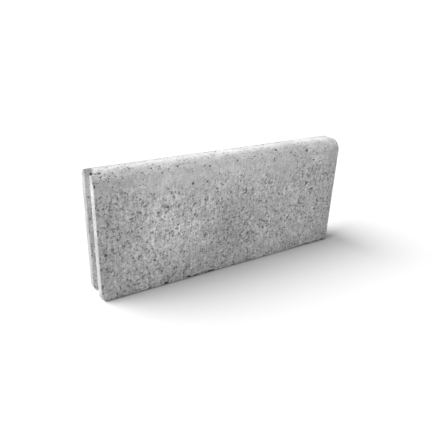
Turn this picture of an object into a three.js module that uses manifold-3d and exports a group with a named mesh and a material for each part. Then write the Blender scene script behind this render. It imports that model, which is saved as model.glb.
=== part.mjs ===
// Precast concrete edging kerb with a rounded top, a groove in one end and a tongue on the other.
// Millimetres. X runs along the kerb, Y through its thickness, Z up from the bed.
// The origin is the middle of the bed, halfway between the two end shoulders.
import * as THREE from "three";
import { mergeVertices } from "three/addons/utils/BufferGeometryUtils.js";
import Module from "manifold-3d";

// Overall sizes
const LAYING_LENGTH = 500; // shoulder to shoulder, the step from one kerb to the next
const HEIGHT = 220;
const THICKNESS = 60;

// Rounded top
const TOP_RADIUS = 21; // both long top arrises
const ROUND_STEPS = 18; // facets in a quarter round

// Small arrises left by the mould
const END_ARRIS = 1.2; // round the outline of each end and of the tongue's tip
const BED_ARRIS = 1.5; // along the two long bed edges

// Interlocking ends
const GROOVE_MOUTH = 26; // width at the end shoulder
const GROOVE_FLOOR = 21; // width at the bottom of the groove
const GROOVE_DEPTH = 13;
const GROOVE_LIP = 0.8; // chamfer on the mouth's two edges
const GROOVE_FILLET = 3; // radius in the floor's two corners
const JOINT_GAP = 1; // left all round the tongue when two shoulders touch
const TONGUE_DROP = 6; // from the kerb's top down to the top of the tongue's root
const TONGUE_FALL = 6; // further fall of the tongue's top from root to tip

// Wear and breaks at the groove end
const BED_WEAR_LENGTH = 5; // along the bed, over the full thickness
const BED_WEAR_HEIGHT = 8; // up the end
// Each flat scar crosses its corner's three edges at these distances along X, Y and Z.
const BED_CORNER_BREAK = [5.5, 24, 17];
const BED_EDGE_SCUFF = [25, 7.5, 2.75];
const TOP_LIP_BREAK = [3.5, -3.5, -4];
const SCAR_SPREAD = 1.6; // size of a scar's cutting wedge against the scar

const HALF_LENGTH = LAYING_LENGTH / 2;
const HALF_THICKNESS = THICKNESS / 2;
const CLEAR = 20; // how far a cutting solid runs past the face it cuts

const wasm = await Module();
wasm.setup();

// A closed three.js geometry as a manifold-3d solid.
function toSolid(geometry) {
  const plain = geometry.index ? geometry.toNonIndexed() : geometry.clone();
  plain.deleteAttribute("normal");
  plain.deleteAttribute("uv");
  const merged = mergeVertices(plain, 1e-4);
  return new wasm.Manifold(
    new wasm.Mesh({
      numProp: 3,
      vertProperties: new Float32Array(merged.attributes.position.array),
      triVerts: new Uint32Array(merged.index.array),
    }),
  );
}

// A manifold-3d solid as a three.js geometry.
function toGeometry(solid) {
  const mesh = solid.getMesh();
  const position = new Float32Array(mesh.numVert * 3);
  for (let i = 0; i < mesh.numVert; i++) {
    const at = i * mesh.numProp;
    position.set(mesh.vertProperties.subarray(at, at + 3), i * 3);
  }
  const geometry = new THREE.BufferGeometry();
  geometry.setAttribute("position", new THREE.BufferAttribute(position, 3));
  geometry.setIndex(new THREE.BufferAttribute(new Uint32Array(mesh.triVerts), 1));
  return geometry.toNonIndexed();
}

// The kerb's cross-section, with Y across and Z up: chamfered bed edges and a rounded top.
function sectionShape() {
  const shape = new THREE.Shape();
  const spring = HEIGHT - TOP_RADIUS;
  shape.moveTo(-HALF_THICKNESS + BED_ARRIS, 0);
  shape.lineTo(HALF_THICKNESS - BED_ARRIS, 0);
  shape.lineTo(HALF_THICKNESS, BED_ARRIS);
  shape.lineTo(HALF_THICKNESS, spring);
  shape.absarc(HALF_THICKNESS - TOP_RADIUS, spring, TOP_RADIUS, 0, Math.PI / 2, false);
  shape.lineTo(-HALF_THICKNESS + TOP_RADIUS, HEIGHT);
  shape.absarc(-HALF_THICKNESS + TOP_RADIUS, spring, TOP_RADIUS, Math.PI / 2, Math.PI, false);
  shape.lineTo(-HALF_THICKNESS, BED_ARRIS);
  shape.closePath();
  return shape;
}

// The cross-section drawn out along X from shoulder to shoulder, its end outlines chamfered.
function bar() {
  const geometry = new THREE.ExtrudeGeometry(sectionShape(), {
    depth: LAYING_LENGTH - 2 * END_ARRIS,
    curveSegments: ROUND_STEPS,
    bevelThickness: END_ARRIS,
    bevelSize: END_ARRIS,
    bevelOffset: -END_ARRIS,
    bevelSegments: 1,
  });
  const alongX = new THREE.Matrix4().set(
    0, 0, 1, -HALF_LENGTH + END_ARRIS,
    1, 0, 0, 0,
    0, 1, 0, 0,
    0, 0, 0, 1,
  );
  return toSolid(geometry.applyMatrix4(alongX));
}

// A plan outline, with X and Y, drawn up through the full height and past it.
function upright(shape) {
  const geometry = new THREE.ExtrudeGeometry(shape, {
    depth: HEIGHT + 2 * CLEAR,
    curveSegments: 8,
    bevelEnabled: false,
  });
  return toSolid(geometry.translate(0, 0, -CLEAR));
}

// A side outline, with X and Z, drawn through the full thickness and past it.
function across(shape) {
  const geometry = new THREE.ExtrudeGeometry(shape, {
    depth: THICKNESS + 2 * CLEAR,
    curveSegments: 10,
    bevelEnabled: false,
  });
  geometry.rotateX(Math.PI / 2);
  return toSolid(geometry.translate(0, HALF_THICKNESS + CLEAR, 0));
}

// The groove's plan: it narrows to a floor with filleted corners, and its mouth is chamfered.
function groovePlan() {
  const end = -HALF_LENGTH;
  const mouth = GROOVE_MOUTH / 2;
  const floor = GROOVE_FLOOR / 2;
  const slope = (mouth - floor) / GROOVE_DEPTH;
  const lip = mouth - slope * GROOVE_LIP;
  const turn = floor + slope * GROOVE_FILLET;
  const shape = new THREE.Shape();
  shape.moveTo(end - CLEAR, -mouth - GROOVE_LIP - CLEAR);
  shape.lineTo(end, -mouth - GROOVE_LIP);
  shape.lineTo(end + GROOVE_LIP, -lip);
  shape.lineTo(end + GROOVE_DEPTH - GROOVE_FILLET, -turn);
  shape.quadraticCurveTo(end + GROOVE_DEPTH, -floor, end + GROOVE_DEPTH, -floor + GROOVE_FILLET);
  shape.lineTo(end + GROOVE_DEPTH, floor - GROOVE_FILLET);
  shape.quadraticCurveTo(end + GROOVE_DEPTH, floor, end + GROOVE_DEPTH - GROOVE_FILLET, turn);
  shape.lineTo(end + GROOVE_LIP, lip);
  shape.lineTo(end, mouth + GROOVE_LIP);
  shape.lineTo(end - CLEAR, mouth + GROOVE_LIP + CLEAR);
  shape.closePath();
  return shape;
}

// The tongue's plan: the groove's form, smaller by the joint gap on its three sides.
function tonguePlan() {
  const end = HALF_LENGTH;
  const root = GROOVE_MOUTH / 2 - JOINT_GAP;
  const tip = GROOVE_FLOOR / 2 - JOINT_GAP;
  const reach = GROOVE_DEPTH - JOINT_GAP;
  const slope = (root - tip) / reach;
  const turn = tip + slope * GROOVE_FILLET;
  const shape = new THREE.Shape();
  shape.moveTo(end - CLEAR, -root);
  shape.lineTo(end, -root);
  shape.lineTo(end + reach - GROOVE_FILLET, -turn);
  shape.quadraticCurveTo(end + reach, -tip, end + reach, -tip + GROOVE_FILLET);
  shape.lineTo(end + reach, tip - GROOVE_FILLET);
  shape.quadraticCurveTo(end + reach, tip, end + reach - GROOVE_FILLET, turn);
  shape.lineTo(end, root);
  shape.lineTo(end - CLEAR, root);
  shape.closePath();
  return shape;
}

// The tongue's side view: flush with the bed, its top below the kerb's and falling towards the tip.
function tongueProfile() {
  const tip = HALF_LENGTH + GROOVE_DEPTH - JOINT_GAP;
  const rootTop = HEIGHT - TONGUE_DROP;
  const tipTop = rootTop - TONGUE_FALL;
  const shape = new THREE.Shape();
  shape.moveTo(HALF_LENGTH - CLEAR, 0);
  shape.lineTo(tip - END_ARRIS, 0);
  shape.lineTo(tip, END_ARRIS);
  shape.lineTo(tip, tipTop - END_ARRIS);
  shape.lineTo(tip - END_ARRIS, tipTop);
  shape.lineTo(HALF_LENGTH, rootTop);
  shape.lineTo(HALF_LENGTH - CLEAR, rootTop);
  shape.closePath();
  return shape;
}

// What wear has taken off the bed edge at the groove end: the corner outside a quarter ellipse.
function bedWear() {
  const end = -HALF_LENGTH;
  const shape = new THREE.Shape();
  shape.moveTo(end - CLEAR, -CLEAR);
  shape.lineTo(end + BED_WEAR_LENGTH, -CLEAR);
  shape.lineTo(end + BED_WEAR_LENGTH, 0);
  shape.absellipse(
    end + BED_WEAR_LENGTH, BED_WEAR_HEIGHT,
    BED_WEAR_LENGTH, BED_WEAR_HEIGHT,
    -Math.PI / 2, -Math.PI, true,
  );
  shape.lineTo(end - CLEAR, BED_WEAR_HEIGHT);
  shape.closePath();
  return shape;
}

// A flat scar over a corner, as the wedge that cuts it: the scar's own plane is the wedge's base.
function scar(corner, crossings) {
  const tip = new THREE.Vector3(...corner);
  const base = crossings.map((distance, axis) => tip.clone().setComponent(axis, corner[axis] + distance));
  const middle = new THREE.Vector3();
  for (const point of base) middle.addScaledVector(point, 1 / base.length);
  const wedge = [tip, ...base].map((point) => point.sub(middle).multiplyScalar(SCAR_SPREAD).add(middle));
  return wasm.Manifold.hull(wedge.map((point) => point.toArray()));
}

const frontBedCorner = [-HALF_LENGTH, -HALF_THICKNESS, 0];
const frontTopLip = [-HALF_LENGTH, -GROOVE_MOUTH / 2, HEIGHT];

const tongue = upright(tonguePlan()).intersect(across(tongueProfile()));
let kerb = bar().add(tongue);
kerb = kerb.subtract(upright(groovePlan()));
kerb = kerb.subtract(across(bedWear()));
kerb = kerb.subtract(scar(frontBedCorner, BED_CORNER_BREAK));
kerb = kerb.subtract(scar(frontBedCorner, BED_EDGE_SCUFF));
kerb = kerb.subtract(scar(frontTopLip, TOP_LIP_BREAK));

const concrete = new THREE.MeshStandardMaterial({
  color: 0xa3a3a3,
  roughness: 0.95,
  metalness: 0,
});
const mesh = new THREE.Mesh(toGeometry(kerb), concrete);
mesh.name = "KERB_STONE";

const group = new THREE.Group();
group.name = "concrete_kerb_stone";
group.add(mesh);

export default group;
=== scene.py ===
import math
from collections import namedtuple

import bmesh
import bpy
from mathutils import Matrix, Vector


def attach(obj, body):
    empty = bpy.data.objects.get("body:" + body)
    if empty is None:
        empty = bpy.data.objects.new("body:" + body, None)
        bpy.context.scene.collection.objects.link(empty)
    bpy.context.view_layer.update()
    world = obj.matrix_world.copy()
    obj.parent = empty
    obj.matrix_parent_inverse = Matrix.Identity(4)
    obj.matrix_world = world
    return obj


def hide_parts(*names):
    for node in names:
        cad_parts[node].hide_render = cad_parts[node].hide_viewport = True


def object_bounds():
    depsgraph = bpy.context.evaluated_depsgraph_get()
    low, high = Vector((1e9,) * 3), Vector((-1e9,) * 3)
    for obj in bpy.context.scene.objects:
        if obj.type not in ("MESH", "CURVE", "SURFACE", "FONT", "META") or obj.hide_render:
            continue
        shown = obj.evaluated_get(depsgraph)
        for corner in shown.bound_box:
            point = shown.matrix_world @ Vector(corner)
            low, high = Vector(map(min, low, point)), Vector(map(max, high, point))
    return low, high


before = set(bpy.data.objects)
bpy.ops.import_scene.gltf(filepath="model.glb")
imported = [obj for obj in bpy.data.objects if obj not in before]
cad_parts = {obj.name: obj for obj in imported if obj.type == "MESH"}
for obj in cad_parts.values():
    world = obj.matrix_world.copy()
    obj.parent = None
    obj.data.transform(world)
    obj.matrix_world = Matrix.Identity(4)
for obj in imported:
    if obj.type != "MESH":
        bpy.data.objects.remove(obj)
cad_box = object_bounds()

MM = 0.001

# The kerb's own sizes in millimetres, from the CAD model. The origin is the middle of its bed.
HALF_LENGTH = round(-cad_box[0][0] / MM, 2)  # to the shoulders: only the tongue goes further
HALF_THICKNESS = round(cad_box[1][1] / MM, 2)
HEIGHT = round(cad_box[1][2] / MM, 2)
FRONT = -HALF_THICKNESS
LEFT_END = -HALF_LENGTH


# ---------------------------------------------------------------- camera
# The photo's own viewpoint, worked out from the vanishing points of the kerb's edges
EYE = Vector((-0.43154, -0.65763, 0.44934))
AZIMUTH = math.radians(32.152)  # from +Y towards +X
ELEVATION = math.radians(24.202)  # looking down
ROLL = math.radians(2.165)
LENS_MM = 38.44
SENSOR_MM = 36.0
CLIP_START = 0.01
CLIP_END = 100.0


def make_camera():
    right = Vector((math.cos(AZIMUTH), -math.sin(AZIMUTH), 0.0))
    ahead = Vector((
        math.sin(AZIMUTH) * math.cos(ELEVATION),
        math.cos(AZIMUTH) * math.cos(ELEVATION),
        -math.sin(ELEVATION),
    ))
    up = right.cross(ahead)
    turned_right = right * math.cos(ROLL) + up * math.sin(ROLL)
    turned_up = up * math.cos(ROLL) - right * math.sin(ROLL)
    data = bpy.data.cameras.new("camera")
    data.sensor_fit = "HORIZONTAL"
    data.sensor_width = SENSOR_MM
    data.lens = LENS_MM
    data.clip_start = CLIP_START
    data.clip_end = CLIP_END
    camera = bpy.data.objects.new("camera", data)
    axes = Matrix((turned_right, turned_up, -ahead)).transposed()
    camera.matrix_world = Matrix.Translation(EYE) @ axes.to_4x4()
    bpy.context.scene.collection.objects.link(camera)
    bpy.context.scene.camera = camera


# ---------------------------------------------------------------- node writing
# Noise of about that grain size in millimetres. Its values from low to high can be spread
# over least to most, and another shift gives another noise.
Noise = namedtuple(
    "Noise", "size detail roughness shift low high least most",
    defaults=(2.0, 0.5, 0.0, 0.0, 1.0, 0.0, 1.0),
)


class Graph:
    """Adds nodes to a geometry, material or world tree. A place, such as "at", is in metres.
    Sizes, and what coordinates() gives, are in millimetres."""

    def __init__(self, tree):
        self.tree = tree

    def node(self, kind, inputs=(), **settings):
        """Makes a node with those settings and puts a value or a link in each of those inputs."""
        made = self.tree.nodes.new(kind)
        for name, value in settings.items():
            setattr(made, name, value)
        for key, value in dict(inputs).items():
            self.put(made.inputs[key], value)
        return made

    def put(self, socket, value):
        """Links a socket to another node's output, or sets it to a plain value."""
        if isinstance(value, bpy.types.NodeSocket):
            self.tree.links.new(value, socket)
        else:
            socket.default_value = value

    def math(self, operation, a, b=0.0):
        return self.node("ShaderNodeMath", {0: a, 1: b}, operation=operation).outputs[0]

    def chain(self, operation, first, *others):
        """One operation over all the values, two at a time."""
        for other in others:
            first = self.math(operation, first, other)
        return first

    def product(self, *values):
        return self.chain("MULTIPLY", *values)

    def total(self, *values):
        return self.chain("ADD", *values)

    def highest(self, *values):
        return self.chain("MAXIMUM", *values)

    def absolute(self, value):
        return self.math("ABSOLUTE", value)

    def complement(self, value):
        """1 less the value."""
        return self.math("SUBTRACT", 1.0, value)

    def step(self, value, low, high, to_low=0.0, to_high=1.0):
        """A smooth step from to_low at low to to_high at high."""
        made = self.node("ShaderNodeMapRange", interpolation_type="SMOOTHSTEP")
        self.put(made.inputs["Value"], value)
        self.put(made.inputs["From Min"], low)
        self.put(made.inputs["From Max"], high)
        self.put(made.inputs["To Min"], to_low)
        self.put(made.inputs["To Max"], to_high)
        return made.outputs["Result"]

    def band(self, value, start, full, falls, end):
        """1 between full and falls, and 0 outside start and end."""
        return self.product(self.step(value, start, full), self.step(value, end, falls))

    def vector(self, operation, a, b):
        return self.node("ShaderNodeVectorMath", {0: a, 1: b}, operation=operation).outputs[0]

    def scaled(self, at, by):
        made = self.node("ShaderNodeVectorMath", {0: at, "Scale": by}, operation="SCALE")
        return made.outputs[0]

    def length(self, at):
        made = self.node("ShaderNodeVectorMath", {0: at}, operation="LENGTH")
        return made.outputs["Value"]

    def coordinates(self, at):
        """X, Y and Z in millimetres."""
        found = self.node("ShaderNodeSeparateXYZ", {0: self.scaled(at, 1 / MM)})
        return found.outputs["X"], found.outputs["Y"], found.outputs["Z"]

    def spaced(self, at, size, shift=0.0):
        """The place in units of a size, which can be another one along each of X, Y and Z."""
        sizes = size if isinstance(size, tuple) else (size, size, size)
        at = self.vector("MULTIPLY", at, [1 / (length * MM) for length in sizes])
        return self.vector("ADD", at, (shift, shift, shift)) if shift else at

    def noise(self, at, noise):
        """The noise's own values, from 0 to 1 round 0.5."""
        made = self.node("ShaderNodeTexNoise", {"Vector": self.spaced(at, noise.size, noise.shift)})
        made.inputs["Scale"].default_value = 1.0
        made.inputs["Detail"].default_value = noise.detail
        made.inputs["Roughness"].default_value = noise.roughness
        return made.outputs[0]

    def spread(self, at, noise):
        """The noise's values, spread from least to most."""
        return self.step(self.noise(at, noise), noise.low, noise.high, noise.least, noise.most)

    def warped(self, at, size, amount):
        """The place pushed about by noise of that grain size, by no more than the amount."""
        made = self.node("ShaderNodeTexNoise", {"Vector": self.spaced(at, size)})
        made.inputs["Scale"].default_value = 1.0
        made.inputs["Detail"].default_value = 1.0
        centred = self.vector("SUBTRACT", made.outputs["Color"], (0.5, 0.5, 0.5))
        return self.vector("ADD", at, self.scaled(centred, 2 * amount * MM))

    def cells(self, at, size, shift):
        """How far the nearest of some scattered points is, and that point's own random number."""
        made = self.node("ShaderNodeTexVoronoi", {"Vector": self.spaced(at, size, shift)})
        made.inputs["Scale"].default_value = 1.0
        random = self.node("ShaderNodeSeparateXYZ", {0: made.outputs["Color"]}).outputs["X"]
        return self.product(made.outputs["Distance"], size), random


# ---------------------------------------------------------------- light and floor
WORLD_STRENGTH = 0.38
BACKDROP_STRENGTH = 1.0
SUN_STRENGTH = 4.4
SUN_FROM = Vector((-0.75, 0.42, 1.05))
SUN_ANGLE = math.radians(55)
FLOOR_HALF = 12.0
FLOOR_COLOR = (0.75, 0.75, 0.75, 1.0)
FLOOR_ROUGHNESS = 0.9
WHITE = (1.0, 1.0, 1.0, 1.0)


def make_world():
    """Soft white light all round, and plain white where the camera looks past the floor."""
    world = bpy.data.worlds.new("studio")
    bpy.context.scene.world = world
    world.use_nodes = True
    g = Graph(world.node_tree)
    light = world.node_tree.nodes["Background"]
    light.inputs["Color"].default_value = WHITE
    light.inputs["Strength"].default_value = WORLD_STRENGTH
    backdrop = g.node("ShaderNodeBackground", {"Color": WHITE, "Strength": BACKDROP_STRENGTH})
    seen = g.node("ShaderNodeLightPath").outputs["Is Camera Ray"]
    choice = g.node("ShaderNodeMixShader", {0: seen, 1: light.outputs[0], 2: backdrop.outputs[0]})
    g.put(world.node_tree.nodes["World Output"].inputs["Surface"], choice.outputs[0])


def make_sun():
    """One broad lamp above, to the left and a little behind, as in the photo."""
    data = bpy.data.lights.new("sun", "SUN")
    data.energy = SUN_STRENGTH
    data.angle = SUN_ANGLE
    sun = bpy.data.objects.new("sun", data)
    sun.rotation_euler = SUN_FROM.to_track_quat("Z", "Y").to_euler()
    bpy.context.scene.collection.objects.link(sun)


def make_floor():
    mesh = bpy.data.meshes.new("floor")
    h = FLOOR_HALF
    mesh.from_pydata([(-h, -h, 0), (h, -h, 0), (h, h, 0), (-h, h, 0)], [], [(0, 1, 2, 3)])
    floor = bpy.data.objects.new("floor", mesh)
    bpy.context.scene.collection.objects.link(floor)
    material = bpy.data.materials.new("floor")
    material.use_nodes = True
    shader = material.node_tree.nodes["Principled BSDF"]
    shader.inputs["Base Color"].default_value = FLOOR_COLOR
    shader.inputs["Roughness"].default_value = FLOOR_ROUGHNESS
    mesh.materials.append(material)


# ---------------------------------------------------------------- damage in known places
# The place along X and up Z, the half sizes along and up, the lean in degrees (up towards +X),
# the place in Y and the half size through Y. All but the lean are in millimetres.
Mark = namedtuple("Mark", "x z long high lean y thick", defaults=(0.0, FRONT, 5.0))
MARK_CORE = 0.5  # a mark is at its full depth or darkness inside this share of its size

# Holes in the front and the round
CURVED_CRACK = Mark(x=-128.5, z=149, long=4.6, high=2.3, lean=-12)
CRACK_TAIL = Mark(x=-116.5, z=151, long=8, high=0.95, lean=26)
SLANTED_HOLE = Mark(x=173, z=141.5, long=6.6, high=2.5, lean=40)
LEVEL_HOLE = Mark(x=188, z=128, long=6.2, high=2.5)
ROUND_HOLE = Mark(x=124, z=138, long=6, high=4, lean=10, y=-32, thick=3)
DEEP_HOLE = Mark(x=73, z=68.5, long=2.4, high=4.4)
LOW_RIGHT_HOLE = Mark(x=208, z=99, long=5.6, high=2.4, lean=-60)
MIDDLE_HOLE = Mark(x=159, z=102, long=4, high=2.2, lean=-40)
TALL_CRACK = Mark(x=28, z=152, long=10, high=1.4, lean=-83)
UPPER_HOLE = Mark(x=-54, z=182, long=2.8, high=2)
PALE_PATCH_HOLE = Mark(x=-77, z=125, long=3.4, high=2, lean=-25)
LONE_HOLE = Mark(x=-82, z=183, long=2.8, high=2.8)
CROWN_HOLE = Mark(x=96, z=HEIGHT - 3.4, long=3.2, high=3.0, y=-20.4)
CROWN_END_HOLE = Mark(x=167, z=HEIGHT - 11, long=3.4, high=3.0, y=-27.4)

# Holes round the knocked top corner and in the groove
KNOCK_HOLE = Mark(x=LEFT_END + 10, z=HEIGHT - 1, long=1.9, high=2.4, y=-14.5)
SECOND_KNOCK_HOLE = Mark(x=LEFT_END + 14.5, z=HEIGHT - 1, long=2.2, high=2.4, y=-15)
ARRIS_HOLE = Mark(x=LEFT_END + 2, z=HEIGHT - 15.5, long=1.6, high=4.5)
# Painted shade in the groove's inner corner beside the knock, sunk in as a small hole
GROOVE_HOLE = Mark(x=LEFT_END + 10.2, z=HEIGHT - 9.4, long=2.2, high=3.2, y=11, thick=2.2)
KNOWN_HOLES = (
    CURVED_CRACK, CRACK_TAIL, SLANTED_HOLE, LEVEL_HOLE, ROUND_HOLE, DEEP_HOLE,
    LOW_RIGHT_HOLE, MIDDLE_HOLE, TALL_CRACK, UPPER_HOLE, PALE_PATCH_HOLE, LONE_HOLE,
    CROWN_HOLE, CROWN_END_HOLE, KNOCK_HOLE, SECOND_KNOCK_HOLE, ARRIS_HOLE, GROOVE_HOLE,
)

# Smaller holes that stand out on the front
LESSER_HOLES = (
    Mark(x=-146, z=143, long=3.2, high=2.2, lean=-28),
    Mark(x=-178, z=149, long=2.2, high=3),
    Mark(x=-158, z=109, long=3.4, high=2.2),
    Mark(x=-100, z=131, long=3.4, high=2.1, lean=-39),
    Mark(x=-120, z=93, long=2.8, high=2.1, lean=-35),
    Mark(x=-51, z=108, long=2.1, high=3),
    Mark(x=-34, z=166, long=3, high=2.3, lean=-26),
    Mark(x=77, z=121, long=2.3, high=3.2),
)

# Nicks out of the front bed edge, dark with painted shade in them
LONG_NICK = Mark(x=-42, z=2.4, long=12.5, high=2.8)
PAIRED_NICK = Mark(x=-74, z=2.2, long=6.5, high=2.8)
MIDDLE_NICK = Mark(x=-87, z=2.2, long=5.5, high=3.8)
LEFT_NICK = Mark(x=-133.5, z=2, long=5.5, high=5)
LAST_NICK = Mark(x=-164.5, z=1.8, long=4.2, high=3.6)
RIGHT_NICK = Mark(x=236, z=2.5, long=5, high=3)
NICKS = (LONG_NICK, PAIRED_NICK, MIDDLE_NICK, LEFT_NICK, LAST_NICK, RIGHT_NICK)

# The knocked top corner beside the groove, dark with painted shade in its break, the flake under
# it, and two darker patches
KNOCK = Mark(x=LEFT_END + 2.2, z=HEIGHT - 0.8, long=4.2, high=4.2, y=-13.9, thick=4.2)
FLAKE = Mark(x=LEFT_END + 7, z=HEIGHT - 6.4, long=5.4, high=6.2, y=-24.5, thick=8)
KNOCK_DARK_PATCH = Mark(x=LEFT_END + 8, z=HEIGHT - 0.4, long=7.5, high=4, y=-13)
CRACK_DARK_PATCH = Mark(x=-133.5, z=151.5, long=9.5, high=5, lean=-12)

# The worn end of the round at the far end, darkened with painted shade where it turns away from the
# light
FAR_WEAR_AND_SHADE = Mark(x=HALF_LENGTH, z=HEIGHT - 9, long=2.5, high=8, y=-26, thick=7)


def distance_from(g, at, mark):
    """0 at the mark's centre and 1 at its outline."""
    centre = (mark.x * MM, mark.y * MM, mark.z * MM)
    turned = g.node("ShaderNodeVectorRotate", rotation_type="Y_AXIS")
    g.put(turned.inputs["Vector"], g.vector("SUBTRACT", at, centre))
    turned.inputs["Angle"].default_value = math.radians(mark.lean)
    return g.length(g.spaced(turned.outputs[0], (mark.long, mark.thick, mark.high)))


def marked(g, at, *marks):
    """1 inside any of the marks and 0 outside them all."""
    return g.highest(*[g.step(distance_from(g, at, mark), 1.0, MARK_CORE) for mark in marks])


# ---------------------------------------------------------------- the ends and the groove
GROOVE_SIDE = 13.8  # half its width at the mouth, with a little of the shoulder beside it
GROOVE_SLOPE = 0.19  # how much of that each millimetre of depth takes off
GROOVE_FADE = 0.6
GROOVE_BOTTOM = LEFT_END + 14.0
BOTTOM_FADE = 1.0
END_FACE = HALF_LENGTH - 0.7  # the shoulders' faces and the tongue are past this
END_FADE = 0.8


def inside_groove(g, along, across):
    """1 on the groove's walls and floor."""
    depth = g.math("SUBTRACT", along, LEFT_END)
    side = g.total(g.absolute(across), g.product(depth, GROOVE_SLOPE))
    return g.product(
        g.step(side, GROOVE_SIDE, GROOVE_SIDE - GROOVE_FADE),
        g.step(along, GROOVE_BOTTOM + BOTTOM_FADE, GROOVE_BOTTOM),
    )


def on_end_faces(g, along):
    """1 on the faces of both shoulders and on the tongue."""
    return g.step(g.absolute(along), END_FACE - END_FADE, END_FACE)


# ---------------------------------------------------------------- where the skin is open
# The top of the faces is smooth, with few holes. Lower down the skin is open, full of them.
CLOSED_ABOVE = HEIGHT - 30.0
OPEN_BELOW = HEIGHT - 85.0
DOTTED_RISE = 20.0  # the small holes reach this much higher than the open skin
END_RISE = 26.0  # all these heights are this much greater towards both ends
MIDDLE_RISE = 0.45  # and greater by this share of it in the middle
WANDER = 75.0  # and they wander up and down by up to this
WANDER_NOISE = Noise(size=30, detail=4, roughness=0.7)

# Where along the kerb the rises start and are full, and where the middle one ends again
LEFT_RISE = (-90.0, -190.0)
RIGHT_RISE = (85.0, 175.0)
MIDDLE = (-80.0, -40.0, 45.0, 85.0)

# The crown is dotted again in patches, above these heights and outside the flat of its middle
CROWN_EDGE = (HEIGHT - 14.5, HEIGHT - 8.0)
FLAT_EDGE = (2.0, 9.0)
CROWN_PATCHES = Noise(size=24, detail=3, shift=4.4, low=0.16, high=0.40)

# How much smoother the sheltered faces are
GROOVE_SHELTER = 0.15
END_SHELTER = 0.8


def openness(g, at):
    """How open and how dotted the skin is, from 0 where it is smooth to 1 low on the faces, and
    how much of the dotting is the crown's."""
    along, across, height = g.coordinates(at)
    wander = g.total(g.product(g.noise(at, WANDER_NOISE), 2 * WANDER), -WANDER)
    middle = g.product(g.band(along, *MIDDLE), MIDDLE_RISE)
    rise = g.highest(g.step(along, *LEFT_RISE), g.step(along, *RIGHT_RISE), middle)
    level = g.total(height, wander, g.product(rise, -END_RISE))
    bare = g.complement(g.highest(
        g.product(inside_groove(g, along, across), GROOVE_SHELTER),
        g.product(on_end_faces(g, along), END_SHELTER),
    ))
    opened = g.step(level, CLOSED_ABOVE, OPEN_BELOW)
    dotted = g.step(level, CLOSED_ABOVE + DOTTED_RISE, OPEN_BELOW + DOTTED_RISE)
    beside_flat = g.step(g.absolute(across), *FLAT_EDGE)
    crown = g.product(g.step(height, *CROWN_EDGE), beside_flat, g.spread(at, CROWN_PATCHES), bare)
    return g.product(opened, bare), g.highest(g.product(dotted, bare), crown), crown


# ---------------------------------------------------------------- the concrete's pattern
# Holes scattered one to a cell: the cells' size, the largest holes' radius, and the share of
# cells that hold one where the skin is smooth and where it is open, with more on the crown
Scatter = namedtuple("Scatter", "cell radius smooth opened crown shift")
SPECKS = Scatter(cell=3.8, radius=1.42, smooth=0.20, opened=0.95, crown=0.0, shift=1.9)
SMALL = Scatter(cell=8.0, radius=2.4, smooth=0.15, opened=0.44, crown=0.55, shift=0.0)
LARGE = Scatter(cell=21.0, radius=3.6, smooth=0.06, opened=0.20, crown=0.16, shift=7.3)
SMALLEST_HOLE = 0.35  # as a share of the largest one's radius
HOLE_WALL = 0.6  # the share of a hole's radius over which it reaches its full depth
CLUSTERS = Noise(size=15, low=0.3, high=0.7, least=0.25, most=1.7)  # of specks and small holes

# Ragged pits, where a noise is above the first limit on smooth skin and the second on open skin
PIT_NOISE = Noise(size=5.4, detail=1.5)
PIT_LIMITS = (0.68, 0.60)
PIT_WALL = 0.08

# Grain size and amount of the noise that makes outlines uneven
HOLE_WARP = (2.5, 0.8)
KNOWN_WARP = (3.5, 1.2)
PIT_WARP = (5.0, 1.0)

# Short upright trickles, in a band along the faces
TRICKLES = Noise(size=(2.6, 2.6, 13.0), detail=1.5, low=0.64, high=0.74)
TRICKLE_HEIGHTS = (100.0, 130.0, 165.0, 195.0)

# The nibbled bed edge, dark with painted shadow, apart from its worn end beside the groove
NIBBLES = Noise(size=9, shift=5.7, low=0.52, high=0.64)
NIBBLED_HEIGHTS = (8.0, 1.0)
NIBBLED_FROM = (LEFT_END + 8.0, LEFT_END + 20.0)


def share_of_cells(g, scatter, openness, crown):
    share = g.step(openness, 0.0, 1.0, scatter.smooth, scatter.opened)
    return g.total(share, g.product(crown, scatter.crown))


def scattered(g, at, scatter, share):
    """Holes in that share of the cells, 1 in their middle and 0 outside them."""
    distance, random = g.cells(at, scatter.cell, scatter.shift)
    least = g.complement(share)
    there = g.math("GREATER_THAN", random, least)
    reach = g.product(g.step(random, least, 1.0, SMALLEST_HOLE, 1.0), there, scatter.radius)
    return g.step(g.math("SUBTRACT", distance, reach), 0.0, g.product(reach, -HOLE_WALL))


def pits(g, at, opened):
    limit = g.step(opened, 0.0, 1.0, *PIT_LIMITS)
    noise = g.noise(g.warped(at, *PIT_WARP), PIT_NOISE)
    return g.step(noise, limit, g.total(limit, PIT_WALL))


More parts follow.
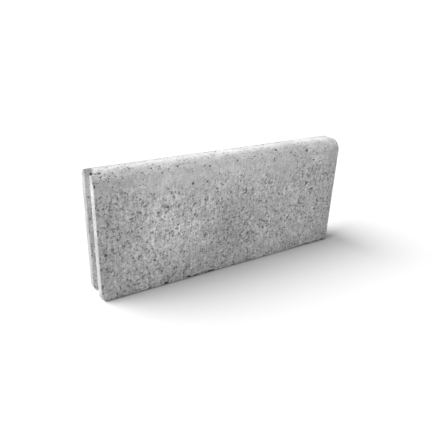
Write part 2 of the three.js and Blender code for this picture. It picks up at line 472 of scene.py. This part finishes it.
def pattern(g, at):
    """What the relief and the finish share, from 0 to 1, and the distance from the flake."""
    opened, dotted, crown = openness(g, at)
    along, _, height = g.coordinates(at)
    ragged = g.warped(at, *HOLE_WARP)
    torn = g.warped(at, *KNOWN_WARP)
    cluster = g.spread(at, CLUSTERS)
    speck_share = g.product(cluster, share_of_cells(g, SPECKS, dotted, crown))
    small_share = g.product(cluster, share_of_cells(g, SMALL, dotted, crown))
    large_share = share_of_cells(g, LARGE, opened, crown)
    foot = g.product(g.step(height, *NIBBLED_HEIGHTS), g.step(along, *NIBBLED_FROM))
    return {
        "opened": opened,
        "specks": scattered(g, ragged, SPECKS, speck_share),
        "pits": pits(g, at, opened),
        "small": scattered(g, ragged, SMALL, small_share),
        "large": scattered(g, ragged, LARGE, large_share),
        "trickles": g.product(g.spread(at, TRICKLES), g.band(height, *TRICKLE_HEIGHTS)),
        "nibble": g.product(g.spread(at, NIBBLES), foot),
        "nicks": marked(g, ragged, *NICKS),
        "known": marked(g, torn, *KNOWN_HOLES),
        "lesser": marked(g, torn, *LESSER_HOLES),
        "knock": marked(g, ragged, KNOCK),
        "far_wear_and_shade": marked(g, ragged, FAR_WEAR_AND_SHADE),
        "dark_patches": marked(g, ragged, KNOCK_DARK_PATCH, CRACK_DARK_PATCH),
        "flake": distance_from(g, at, FLAKE),
    }


# ---------------------------------------------------------------- relief
VOXEL = 1.0  # spacing of the even mesh, in millimetres
WELD = 0.01  # points of the CAD mesh that are this close become one
TRIANGLES = 195_000

# How often the arrises are evened out, and where more and less of that wear shows
WEAR_STEPS = 2
WEAR_NOISE = Noise(size=14, low=0.3, high=0.7, least=0.25)

# The faces' slow unevenness, in millimetres
UNEVEN = 0.25
UNEVEN_NOISE = Noise(size=60, detail=3)

# How deep each kind of hole sinks, in millimetres
DEPTHS = {
    "pits": 0.6, "small": 1.2, "large": 2.1, "trickles": 0.5, "nibble": 1.4, "nicks": 1.2,
    "known": 1.7, "lesser": 1.0, "knock": 0.8, "far_wear_and_shade": 0.4, "dark_patches": 0.4,
}
FLAKE_DEPTH = 0.4
FLAKE_EDGE = (1.0, 0.75)  # its outline, and where inside that it is at its full depth


def vector_sockets(sockets):
    return [socket for socket in sockets if socket.type == "VECTOR"]


def mixed(g, factor, first, second):
    made = g.node("ShaderNodeMix", data_type="VECTOR")
    g.put(made.inputs["Factor"], factor)
    ends = vector_sockets(made.inputs)[-2:]  # a vector factor comes before them
    g.put(ends[0], first)
    g.put(ends[1], second)
    return vector_sockets(made.outputs)[0]


def evened(g, place):
    """Each point's place evened out with its neighbours', which draws in the arrises."""
    blur = g.node("GeometryNodeBlurAttribute", data_type="FLOAT_VECTOR")
    blur.inputs["Iterations"].default_value = WEAR_STEPS
    g.put(blur.inputs["Value"], place)
    return blur.outputs[0]


def depth_at(g, place):
    """How far the holes, the flake and the unevenness sink the surface."""
    found = pattern(g, place)
    sunk = g.highest(*[g.product(found[name], depth) for name, depth in DEPTHS.items()])
    sunk = g.highest(sunk, g.step(found["flake"], *FLAKE_EDGE, 0.0, FLAKE_DEPTH))
    return g.total(sunk, g.product(g.noise(place, UNEVEN_NOISE), UNEVEN))


def keep(g, shape, name, kind, value):
    """Stores a value at each point under that name, for the finish to read."""
    made = g.node("GeometryNodeStoreNamedAttribute", data_type=kind, domain="POINT")
    made.inputs["Name"].default_value = name
    g.put(made.inputs["Geometry"], shape)
    g.put(made.inputs["Value"], value)
    return made.outputs[0]


def relief_tree():
    """Geometry nodes that keep each point's place as "rest" and how far wear moves it as "edge",
    then wear the arrises and sink the holes."""
    tree = bpy.data.node_groups.new("relief", "GeometryNodeTree")
    for way in ("INPUT", "OUTPUT"):
        tree.interface.new_socket("Geometry", in_out=way, socket_type="NodeSocketGeometry")
    g = Graph(tree)
    place = g.node("GeometryNodeInputPosition").outputs[0]
    normal = g.node("GeometryNodeInputNormal").outputs[0]
    worn = evened(g, place)
    edge = g.product(g.length(g.vector("SUBTRACT", worn, place)), 1 / MM)

    shape = g.node("NodeGroupInput").outputs[0]
    shape = keep(g, shape, "rest", "FLOAT_VECTOR", place)
    shape = keep(g, shape, "edge", "FLOAT", edge)
    move = g.node("GeometryNodeSetPosition")
    g.put(move.inputs["Geometry"], shape)
    g.put(move.inputs["Position"], mixed(g, g.spread(place, WEAR_NOISE), place, worn))
    g.put(move.inputs["Offset"], g.scaled(normal, g.product(depth_at(g, place), -MM)))
    g.put(g.node("NodeGroupOutput").inputs[0], move.outputs[0])
    return tree


def apply_modifiers(obj):
    """Gives the object the mesh that its modifiers make, and takes the modifiers off."""
    bpy.context.view_layer.update()
    depsgraph = bpy.context.evaluated_depsgraph_get()
    shape = obj.evaluated_get(depsgraph)
    mesh = bpy.data.meshes.new_from_object(shape, depsgraph=depsgraph)
    obj.modifiers.clear()
    obj.data = mesh
    return mesh


def welded_copy(source):
    mesh = source.copy()
    work = bmesh.new()
    work.from_mesh(mesh)
    bmesh.ops.remove_doubles(work, verts=work.verts, dist=WELD * MM)
    work.to_mesh(mesh)
    work.free()
    return mesh


def make_kerb(node, material):
    """A copy of the CAD kerb in an even mesh, with its relief sunk in, thinned out again."""
    mesh = welded_copy(node.data)
    mesh.materials.clear()
    mesh.materials.append(material)
    kerb = bpy.data.objects.new("kerb_concrete", mesh)
    bpy.context.scene.collection.objects.link(kerb)
    remesh = kerb.modifiers.new("even", "REMESH")
    remesh.mode = "VOXEL"
    remesh.voxel_size = VOXEL * MM
    relief = kerb.modifiers.new("relief", "NODES")
    relief.node_group = relief_tree()
    mesh = apply_modifiers(kerb)
    thin = kerb.modifiers.new("thin", "DECIMATE")
    thin.ratio = min(1.0, TRIANGLES / (2 * len(mesh.polygons)))  # the even mesh has quads
    mesh = apply_modifiers(kerb)
    mesh.shade_smooth()
    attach(kerb, "root")
    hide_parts("KERB_STONE")


# ---------------------------------------------------------------- finish: the skin's own tone
# Tones multiply the base tone. A swing is added to 1 to make one.
BASE_TONE = 0.58
MOTTLE = Noise(size=13, low=0.25, high=0.75, least=0.90, most=1.10)
BROAD_MOTTLE = Noise(size=75, detail=3, low=0.3, high=0.7, least=0.94, most=1.06)
GRAIN = Noise(size=3.9, detail=3, roughness=0.62, shift=3.1)
GRAIN_STRENGTH = (0.7, 1.65)  # on smooth skin and on open skin
SAND = Noise(size=1.3, roughness=0.6, low=0.25, high=0.75, least=-0.23, most=0.23)
SAND_STRENGTH = (0.6, 1.0)  # on smooth skin and from this openness on
SAND_OPENNESS = 0.6
STREAKS = Noise(size=(3.0, 3.0, 26.0), low=0.25, high=0.75, least=-0.16, most=0.16)
STREAK_STRENGTH = (1.0, 0.45)  # below these heights and above them
STREAK_HEIGHTS = (HEIGHT - 42.0, HEIGHT - 24.0)


def skin_tone(g, at, height, opened):
    grain = g.product(g.total(g.noise(at, GRAIN), -0.5), g.step(opened, 0.0, 1.0, *GRAIN_STRENGTH))
    sand = g.product(g.spread(at, SAND), g.step(opened, 0.0, SAND_OPENNESS, *SAND_STRENGTH))
    streaks = g.product(g.spread(at, STREAKS), g.step(height, *STREAK_HEIGHTS, *STREAK_STRENGTH))
    swings = [g.total(swing, 1.0) for swing in (grain, sand, streaks)]
    return g.product(g.spread(at, BROAD_MOTTLE), g.spread(at, MOTTLE), *swings)


# ---------------------------------------------------------------- finish: patches on the faces
# Soft ragged clouds: centre, radius, and the tone in their middle
Cloud = namedtuple("Cloud", "x z radius tone")
PALE_PATCH = Cloud(x=-119, z=116, radius=62, tone=1.15)
DARK_LOW_PATCH = Cloud(x=0, z=76, radius=72, tone=0.87)
DARK_MIDDLE_PATCH = Cloud(x=5, z=138, radius=42, tone=0.94)
PALE_TOP = Cloud(x=-8, z=205, radius=42, tone=1.09)
DULL_TOP = Cloud(x=140, z=188, radius=50, tone=0.90)
CLOUDS = (PALE_PATCH, DARK_LOW_PATCH, DARK_MIDDLE_PATCH, PALE_TOP, DULL_TOP)
CLOUD_EDGE = (1.6, 0.2)  # squares of the distance in radii, where a cloud starts and is full
CLOUD_NOISE = Noise(size=30)
CLOUD_RAGGEDNESS = 0.8  # how much the noise adds to those squares


def cloud_tone(g, along, height, ragged, cloud):
    from_x = g.product(g.total(along, -cloud.x), 1 / cloud.radius)
    from_z = g.product(g.total(height, -cloud.z), 1 / cloud.radius)
    away = g.total(g.product(from_x, from_x), g.product(from_z, from_z), ragged)
    return g.step(away, *CLOUD_EDGE, 1.0, cloud.tone)


def patch_tone(g, at, along, height):
    ragged = g.product(g.noise(at, CLOUD_NOISE), CLOUD_RAGGEDNESS)
    return g.product(*[cloud_tone(g, along, height, ragged, cloud) for cloud in CLOUDS])


# ---------------------------------------------------------------- finish: painted shade towards the left end, and a darker far end
# Painted shade that darkens the faces towards the left end, and the crown less
LEFT_SHADE_REACH = (LEFT_END, LEFT_END + 105.0)
LEFT_SHADE_TONES = (0.76, 0.93)  # on the faces and on the crown
LEFT_SHADE_HEIGHTS = (HEIGHT - 12.0, HEIGHT - 3.0)
FAR_DARKENING_REACH = (HALF_LENGTH - 70.0, HALF_LENGTH - 2.0)
FAR_DARKENING_TONE = 0.83  # on the faces, not on the crown
FAR_DARKENING_HEIGHTS = (HEIGHT - 16.0, HEIGHT - 5.0)

# The left end's own faces have their own tones, mostly lighter than that painted shade, apart from
# the foot of the shoulders
GROOVE_TONE = 0.88
SHOULDER_TONES = (0.88, 0.80)  # in front of the groove and behind it
SHOULDER_SIDES = (-14.0, 14.0)
SHOULDER_FOOT_TONE = 0.70
SHOULDER_FOOT = (6.0, 15.0)


def end_tone(g, along, across, height, in_groove):
    left_shade = g.step(height, *LEFT_SHADE_HEIGHTS, *LEFT_SHADE_TONES)
    far_darkening = g.step(height, *FAR_DARKENING_HEIGHTS, FAR_DARKENING_TONE, 1.0)
    shoulders = g.product(
        on_end_faces(g, along),
        g.step(height, *SHOULDER_FOOT, SHOULDER_FOOT_TONE, 1.0),
        g.step(across, *SHOULDER_SIDES, *SHOULDER_TONES),
    )
    left_end = g.highest(
        g.step(along, *LEFT_SHADE_REACH, left_shade, 1.0),
        g.product(in_groove, GROOVE_TONE),
        shoulders,
    )
    return g.product(left_end, g.step(along, *FAR_DARKENING_REACH, 1.0, far_darkening))


# ---------------------------------------------------------------- finish: painted light and shade on the round and at the foot
# Painted light: the faces are painted a little paler as they come up to the round
PAINTED_LIGHT_BAND = (HEIGHT - 70.0, HEIGHT - 30.0, HEIGHT - 20.0, HEIGHT - 8.0)
PAINTED_LIGHT_BAND_SWING = 0.06

# Painted shade, partly grime, on the outer part of both rounds, outside the groove
GRIME_AND_SHADE_SIDES = (3.0, 17.0, 20.0, 25.0)
GRIME_AND_SHADE_HEIGHTS = (HEIGHT - 16.0, HEIGHT - 10.0)
GRIME_AND_SHADE_SWING = -0.14

# Painted light and shade across the crest: it goes from a shaded front to a lit middle and a more
# shaded back
CREST_LIGHTING_HEIGHTS = (HEIGHT - 16.0, HEIGHT - 4.0)
CREST_LIGHTING_FRONT = (-9.0, 2.0)
CREST_LIGHTING_FRONT_TONES = (0.93, 1.03)
CREST_LIGHTING_BACK = (7.0, 12.5)
CREST_LIGHTING_BACK_TONE = 0.87

# Painted shade in a line along the bed, but not on the worn corner beside the groove: that is paler
# concrete, lifted further by painted light
BED_SHADE_LINE = (3.5, 1.5)
BED_SHADE_LINE_TONE = 0.75
WORN_CORNER = (LEFT_END + 24.0, LEFT_END + 14.0)
WORN_CORNER_PALE_AND_LIT_TONE = 1.3

# Arrises are paler by how far wear moved them
WORN_EDGE = (0.15, 0.6)
WORN_EDGE_TONE = 1.05


def round_tone(g, across, height, in_groove):
    painted_light_band = g.product(g.band(height, *PAINTED_LIGHT_BAND), PAINTED_LIGHT_BAND_SWING)
    grime_and_shade = g.product(
        g.band(g.absolute(across), *GRIME_AND_SHADE_SIDES),
        g.step(height, *GRIME_AND_SHADE_HEIGHTS),
        g.step(in_groove, 1.0, 0.0, 0.0, GRIME_AND_SHADE_SWING),
    )
    crest_lighting = g.product(
        g.step(across, *CREST_LIGHTING_FRONT, *CREST_LIGHTING_FRONT_TONES),
        g.step(across, *CREST_LIGHTING_BACK, 1.0, CREST_LIGHTING_BACK_TONE),
    )
    crest_lighting = g.product(g.step(height, *CREST_LIGHTING_HEIGHTS), g.total(crest_lighting, -1.0))
    return g.product(*[g.total(swing, 1.0) for swing in (painted_light_band, grime_and_shade, crest_lighting)])


def foot_tone(g, along, height):
    corner = g.step(along, *WORN_CORNER)
    bed_shade_and_light = g.step(corner, 0.0, 1.0, BED_SHADE_LINE_TONE, WORN_CORNER_PALE_AND_LIT_TONE)
    return g.step(height, *BED_SHADE_LINE, 1.0, bed_shade_and_light)


# ---------------------------------------------------------------- finish: holes
# How much each kind of hole darkens the concrete: painted shade of hollows deeper than the relief,
# with some dirt in them
SCATTERED_SHADES = {
    "specks": 0.79, "pits": 0.52, "small": 0.75, "large": 0.74, "trickles": 0.4, "nibble": 0.5,
}
PLACED_SHADES = {
    "nicks": 0.95, "known": 0.73, "lesser": 0.58, "knock": 0.94, "far_wear_and_shade": 0.25, "dark_patches": 0.42,
}

# The flake's lower rim is dark, between these distances from it and below these heights
RIM_SHADE = 0.55
RIM = (0.85, 0.98, 1.05, 1.18)
RIM_HEIGHTS = (FLAKE.z - 1.6, FLAKE.z - 5.1)

# Fine grit in the bump, less of it on the round, with the scattered holes sunk in it
BUMP_DISTANCE = 0.5
GRIT = Noise(size=1.9, detail=3, roughness=0.6)
GRIT_HEIGHTS = (HEIGHT - 35.0, HEIGHT - 20.0)
ROUND_GRIT = 0.6
HOLE_BUMP = -0.8

ROUGHNESS = (0.88, 0.98)  # of the skin, and of holes from this shade on
ROUGH_SHADE = 0.5
SPECULAR = 0.3


def darkest(g, found, shades):
    return g.highest(*[g.product(found[name], shade) for name, shade in shades.items()])


def flake_rim(g, found, height):
    return g.product(g.band(found["flake"], *RIM), g.step(height, *RIM_HEIGHTS), RIM_SHADE)


def bumped(g, at, height, scattered_dark):
    """A bump's height is worked out three times, so the placed holes are left out of it: with
    them the shader would be more than Cycles can hold."""
    grit = g.product(g.noise(at, GRIT), g.step(height, *GRIT_HEIGHTS, 1.0, ROUND_GRIT))
    bump = g.node("ShaderNodeBump")
    bump.inputs["Strength"].default_value = 1.0
    bump.inputs["Distance"].default_value = BUMP_DISTANCE * MM
    g.put(bump.inputs["Height"], g.total(grit, g.product(scattered_dark, HOLE_BUMP)))
    return bump.outputs[0]


def make_concrete():
    material = bpy.data.materials.new("concrete")
    material.use_nodes = True
    g = Graph(material.node_tree)
    shader = material.node_tree.nodes["Principled BSDF"]
    at = g.node("ShaderNodeAttribute", attribute_name="rest").outputs["Vector"]
    edge = g.node("ShaderNodeAttribute", attribute_name="edge").outputs["Fac"]
    along, across, height = g.coordinates(at)
    in_groove = inside_groove(g, along, across)
    found = pattern(g, at)

    tone = g.product(
        skin_tone(g, at, height, found["opened"]),
        patch_tone(g, at, along, height),
        end_tone(g, along, across, height, in_groove),
        round_tone(g, across, height, in_groove),
        foot_tone(g, along, height),
        g.step(edge, *WORN_EDGE, 1.0, WORN_EDGE_TONE),
    )
    scattered_dark = darkest(g, found, SCATTERED_SHADES)
    placed_dark = darkest(g, found, PLACED_SHADES)
    dark = g.highest(flake_rim(g, found, height), scattered_dark, placed_dark)
    g.put(shader.inputs["Base Color"], g.product(tone, g.complement(dark), BASE_TONE))
    g.put(shader.inputs["Roughness"], g.step(dark, 0.0, ROUGH_SHADE, *ROUGHNESS))
    g.put(shader.inputs["Normal"], bumped(g, at, height, scattered_dark))
    shader.inputs["Specular IOR Level"].default_value = SPECULAR
    return material


make_camera()
make_world()
make_sun()
make_floor()
make_kerb(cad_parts["KERB_STONE"], make_concrete())
bpy.context.scene.view_settings.view_transform = "Standard"
